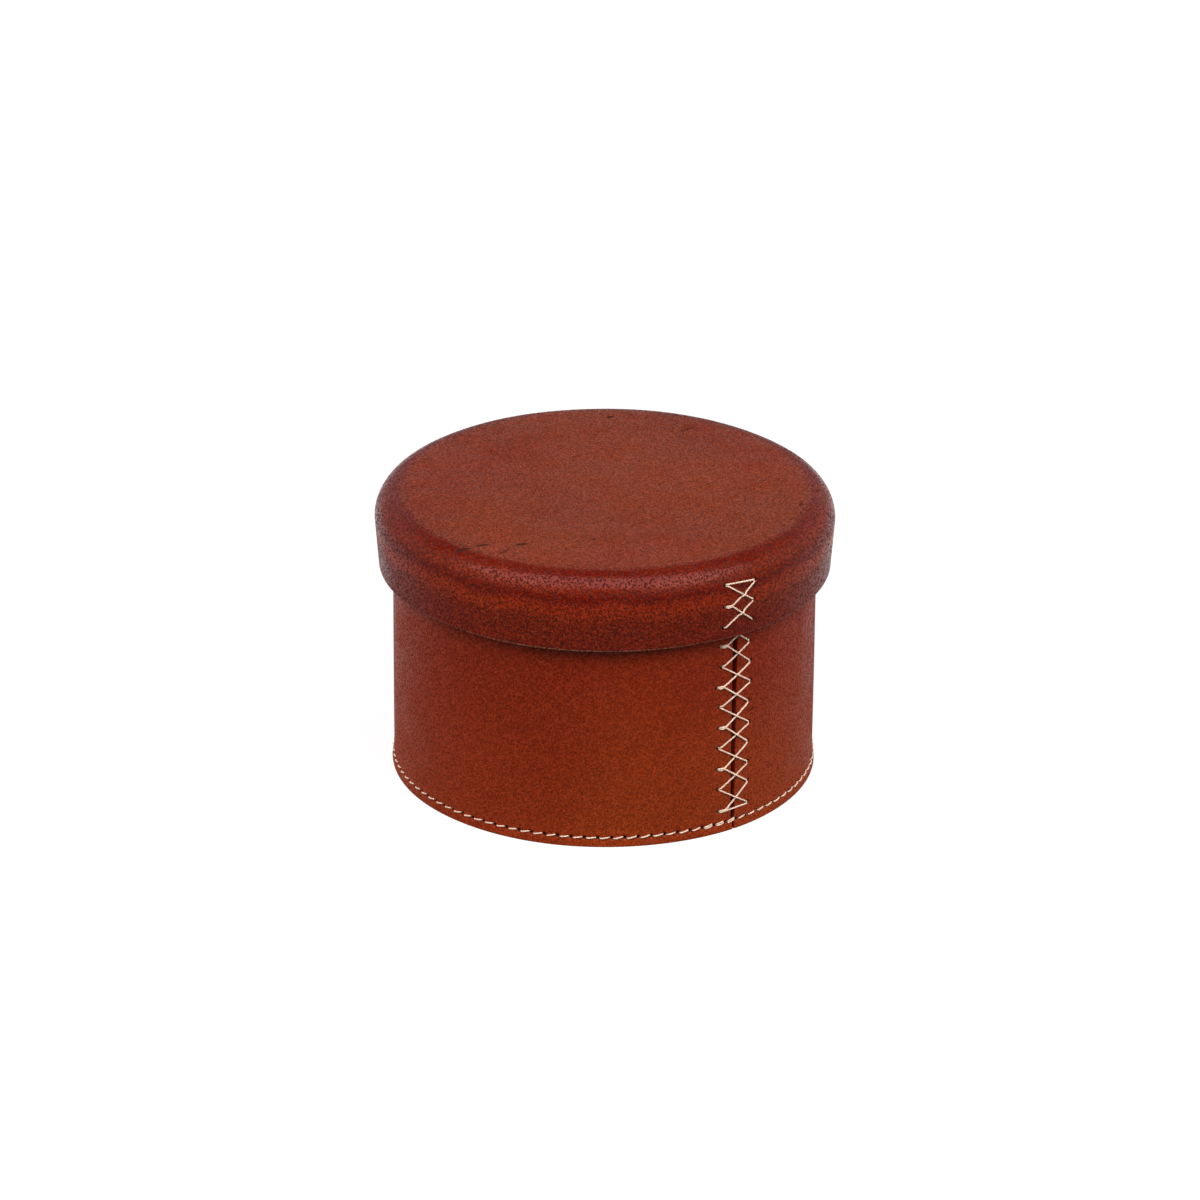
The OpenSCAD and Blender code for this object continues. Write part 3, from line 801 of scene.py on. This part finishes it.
def make_base_stitching(material):
    """Short stitches round the foot; three are doubled left of the seam, where the thread ends."""
    routes = []
    half = STITCH_STEP * WALL_R / 2
    for i in range(STITCHES):
        middle = STITCH_SHIFT + i * STITCH_STEP * WALL_R
        slant = 0.3 * MM + random.uniform(-0.1, 0.1) * MM
        sink = random.uniform(-0.05, 0.03) * MM
        doubled = i == 0 or i >= STITCHES - 2
        for side in ((-1, 1) if doubled else (0,)):
            swell = side * 0.34 * MM
            run = [(-1.7, -1, 0.3, -1.4), (-1.62, -0.9, 0.4, -0.5), (-1.2, -0.75, 0.8, 0), (0, 0, 1, 0.15),
                   (1.2, 0.75, 0.8, 0), (1.62, 0.9, 0.4, -0.5), (1.7, 1, 0.3, -1.4)]
            routes.append([on_wall(middle + u * MM, STITCH_Z + tilt * slant + wide * swell, out * MM + sink)
                           for u, tilt, wide, out in run])
    outer = thread_piece("base_stitch_thread", routes, 0.34 * MM, 8)
    under = WALL_T + GLUE + PAN_T
    routes = []
    for i in range(STITCHES):
        middle = STITCH_SHIFT + i * STITCH_STEP * WALL_R
        run = [(-half * 0.98, 0.9), (-half * 0.92, 0.1), (-0.55 * half, -0.34), (0.55 * half, -0.34),
               (half * 0.92, 0.1), (half * 0.98, 0.9)]
        routes.append([on_wall(middle + u, STITCH_Z, -under + out * MM) for u, out in run])
    inner = thread_piece("base_stitch_inside", routes, 0.6 * MM, 6)
    outer.select_set(True)
    bpy.context.view_layer.objects.active = outer
    bpy.ops.object.join()
    dress(outer, "box", "base_stitching", material)


def area_lamp(name, place, aim, width, height, power, colour=(1, 1, 1)):
    data = bpy.data.lights.new(name, "AREA")
    data.shape = "RECTANGLE"
    data.size = width
    data.size_y = height
    data.energy = power
    data.color = colour
    lamp = bpy.data.objects.new(name, data)
    bpy.context.scene.collection.objects.link(lamp)
    lamp.location = place
    lamp.rotation_euler = (Vector(aim) - Vector(place)).to_track_quat("-Z", "Y").to_euler()
    return lamp


def light_the_studio():
    """A wide box overhead for the glint, four soft fills that leave none, and a dim surround."""
    glint = area_lamp("overhead", (0.04, -0.41, 1.1), (0.04, -0.41, 0), 2.2, 0.92, 18)
    glint.visible_diffuse = False
    for name, turn, rise, power in (("front_left", -50, 42, 18.5), ("front_right", 50, 42, 20),
                                    ("back_left", -130, 12, 9), ("back_right", 130, 12, 9)):
        around_box, up = FRONT + math.radians(turn), math.radians(rise)
        way = Vector((math.cos(around_box) * math.cos(up), math.sin(around_box) * math.cos(up), math.sin(up)))
        fill = area_lamp(name, way * 1.4 + Vector((0, 0, 0.05)), (0, 0, 0.05), 1.2, 0.9, power)
        fill.visible_glossy = False
    world = bpy.data.worlds.new("studio")
    bpy.context.scene.world = world
    world.use_nodes = True
    tree = world.node_tree
    tree.nodes.clear()
    out = tree.nodes.new("ShaderNodeOutputWorld")
    lit = tree.nodes.new("ShaderNodeBackground")
    seen = tree.nodes.new("ShaderNodeBackground")
    choose = tree.nodes.new("ShaderNodeMixShader")
    rays = tree.nodes.new("ShaderNodeLightPath")
    place = tree.nodes.new("ShaderNodeTexCoord")
    split = tree.nodes.new("ShaderNodeSeparateXYZ")
    back = tree.nodes.new("ShaderNodeMapRange")
    for name, value in (("From Min", -0.8), ("From Max", 0.4), ("To Min", 0.09), ("To Max", 0.85)):
        back.inputs[name].default_value = value
    low = tree.nodes.new("ShaderNodeValToRGB")
    for at, grey in ((0.4, 0.6), (0.47, 1.0), (0.52, 0.9)):
        low.color_ramp.elements.new(at).color = (grey, grey, grey, 1)
    low.color_ramp.elements[0].color = (0.6, 0.6, 0.6, 1)
    low.color_ramp.elements[-1].position = 0.6
    low.color_ramp.elements[-1].color = (0.03, 0.03, 0.03, 1)
    strength = tree.nodes.new("ShaderNodeMath")
    strength.operation = "MULTIPLY"
    seen.inputs["Color"].default_value = (1, 1, 1, 1)
    tree.links.new(place.outputs["Generated"], split.inputs[0])
    tree.links.new(split.outputs["Y"], back.inputs["Value"])
    tree.links.new(split.outputs["Z"], low.inputs["Fac"])
    tree.links.new(back.outputs["Result"], strength.inputs[0])
    tree.links.new(low.outputs["Color"], strength.inputs[1])
    tree.links.new(strength.outputs[0], lit.inputs["Strength"])
    tree.links.new(rays.outputs["Is Camera Ray"], choose.inputs["Fac"])
    tree.links.new(lit.outputs[0], choose.inputs[1])
    tree.links.new(seen.outputs[0], choose.inputs[2])
    tree.links.new(choose.outputs[0], out.inputs["Surface"])


def lay_the_floor():
    """A white floor that shows the box's shadow and otherwise the background's white; for glossy rays it also glows,
    more behind the box, though it is no lamp, so that the leather shows it as a reflection.
    """
    bpy.ops.object.select_all(action="DESELECT")
    bpy.ops.mesh.primitive_plane_add(size=9)
    floor = bpy.context.object
    floor.name = "floor"
    material = bpy.data.materials.new("white_floor")
    material.use_nodes = True
    tree = material.node_tree
    tree.nodes.clear()
    out = tree.nodes.new("ShaderNodeOutputMaterial")
    paper = tree.nodes.new("ShaderNodeBsdfDiffuse")
    paper.inputs["Color"].default_value = (0.18, 0.18, 0.18, 1)
    glow = tree.nodes.new("ShaderNodeEmission")
    rays = tree.nodes.new("ShaderNodeLightPath")
    lift = tree.nodes.new("ShaderNodeMath")
    lift.operation = "MULTIPLY"
    lift.inputs[1].default_value = 0.85
    place = tree.nodes.new("ShaderNodeTexCoord")
    split = tree.nodes.new("ShaderNodeSeparateXYZ")
    # A glow for glossy rays, stronger behind the box: the floor shines in the leather's reflections though it is no
    # lamp.
    behind = tree.nodes.new("ShaderNodeMapRange")
    for name, value in (("From Min", -0.1), ("From Max", 0.3), ("To Min", 0.0), ("To Max", 0.65)):
        behind.inputs[name].default_value = value
    sheen = tree.nodes.new("ShaderNodeMath")
    sheen.operation = "MULTIPLY_ADD"
    both = tree.nodes.new("ShaderNodeAddShader")
    flat = tree.nodes.new("ShaderNodeVectorMath")
    flat.operation = "LENGTH"
    under = tree.nodes.new("ShaderNodeMapRange")
    for name, value in (("From Min", WALL_R - 0.6 * MM), ("From Max", WALL_R - 0.1 * MM), ("To Min", 0.0), ("To Max", 1.0)):
        under.inputs[name].default_value = value
    seen = tree.nodes.new("ShaderNodeMath")
    seen.operation = "MULTIPLY"
    tree.links.new(place.outputs["Object"], flat.inputs[0])
    tree.links.new(flat.outputs["Value"], under.inputs["Value"])
    tree.links.new(under.outputs["Result"], seen.inputs[0])
    tree.links.new(rays.outputs["Is Camera Ray"], seen.inputs[1])
    tree.links.new(seen.outputs[0], lift.inputs[0])
    tree.links.new(place.outputs["Object"], split.inputs[0])
    tree.links.new(split.outputs["Y"], behind.inputs["Value"])
    tree.links.new(behind.outputs["Result"], sheen.inputs[0])
    tree.links.new(rays.outputs["Is Glossy Ray"], sheen.inputs[1])
    tree.links.new(lift.outputs[0], sheen.inputs[2])
    tree.links.new(sheen.outputs[0], glow.inputs["Strength"])
    tree.links.new(paper.outputs[0], both.inputs[0])
    tree.links.new(glow.outputs[0], both.inputs[1])
    tree.links.new(both.outputs[0], out.inputs["Surface"])
    floor.data.materials.append(material)


# Nicks and scratches in mm, the last two long faint darker streaks across the top: start, end, width, strength
LID_MARKS = [
    ((0, 64.8, 105.6), (3.3, 66.4, 105.6), 1.2, 1.0),
    ((26.5, 50.8, 105.7), (33.2, 57.2, 105.7), 0.9, 0.75),
    ((-53.2, -56.6, 104.2), (-46.2, -55.4, 105.5), 1.0, 0.95),
    ((-45.8, -53.9, 105.6), (-40.0, -52.5, 105.7), 1.0, 1.0),
    ((-31.9, -53.6, 105.7), (-26.4, -51.9, 105.7), 1.1, 1.0),
    ((-36.8, -60.7, 105.6), (-33, -56.4, 105.6), 0.8, 0.8),
    ((-4.4, -47.9, 105.8), (-3.3, -47.7, 105.8), 1.2, 0.8),
    ((70, -11.7, 105.4), (69.1, -17.6, 105.4), 0.8, 0.8),
    ((77.8, -14.7, 102.9), (80.8, -12.9, 98.9), 1.1, 0.95),
    ((80.9, -11.5, 85), (81.1, -9.8, 85.2), 1.4, 0.8),
    ((76.7, -27.5, 81.8), (77.2, -25.7, 80.5), 1.1, 0.8),
    ((-20.2, -74.3, 104.3), (-19, -73.2, 104.9), 1.2, 0.85),
    ((-5.2, -81.6, 99.1), (-3.9, -81.6, 99.2), 1.2, 0.8),
    ((-15.1, -79.9, 79.6), (-13.7, -80.2, 81.2), 1.3, 0.85),
    ((-20.9, -78.8, 82.9), (-19.9, -79.2, 84.9), 1.2, 0.6),
    ((-11.4, 26.8, 105.8), (-8.8, 27.8, 105.8), 1.0, 0.6),
    ((-13.8, 11.7, 105.8), (-11.1, 12.1, 105.8), 1.0, 0.5),
    ((-69.8, -1.6, 105.4), (-67.3, -0.6, 105.4), 1.0, 0.6),
    ((-22.8, -39.9, 105.8), (-1.7, -47.5, 105.8), 2.4, 0.16),
    ((-5.2, -46.6, 105.8), (29.8, -43.4, 105.8), 2.4, 0.16),
]
WALL_MARKS = [
    ((51.6, -56.1, 44.4), (53.1, -54.6, 44.7), 1.2, 0.8),
    ((-55.9, -51.8, 18.6), (-55.2, -52.5, 18.9), 1.2, 0.8),
]

photo_camera()
light_the_studio()
lay_the_floor()
wall_leather = wall_finish()
lid_leather = lid_finish()
inner_leather = flesh_leather("inner_leather")
thread = waxed_thread("ivory_thread")
tan_suede = suede("tan_suede")
for node, material in (("seam_backing", inner_leather), ("base_pan", inner_leather),
                       ("floor_lining", tan_suede), ("lid_lining", tan_suede)):
    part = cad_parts[node]
    part.data.materials.clear()
    part.data.materials.append(material)
make_wall(wall_leather)
make_lid(lid_leather)
make_wall_lacing(thread)
make_lid_lacing(thread)
make_base_stitching(thread)

bpy.context.scene.view_settings.view_transform = "Standard"
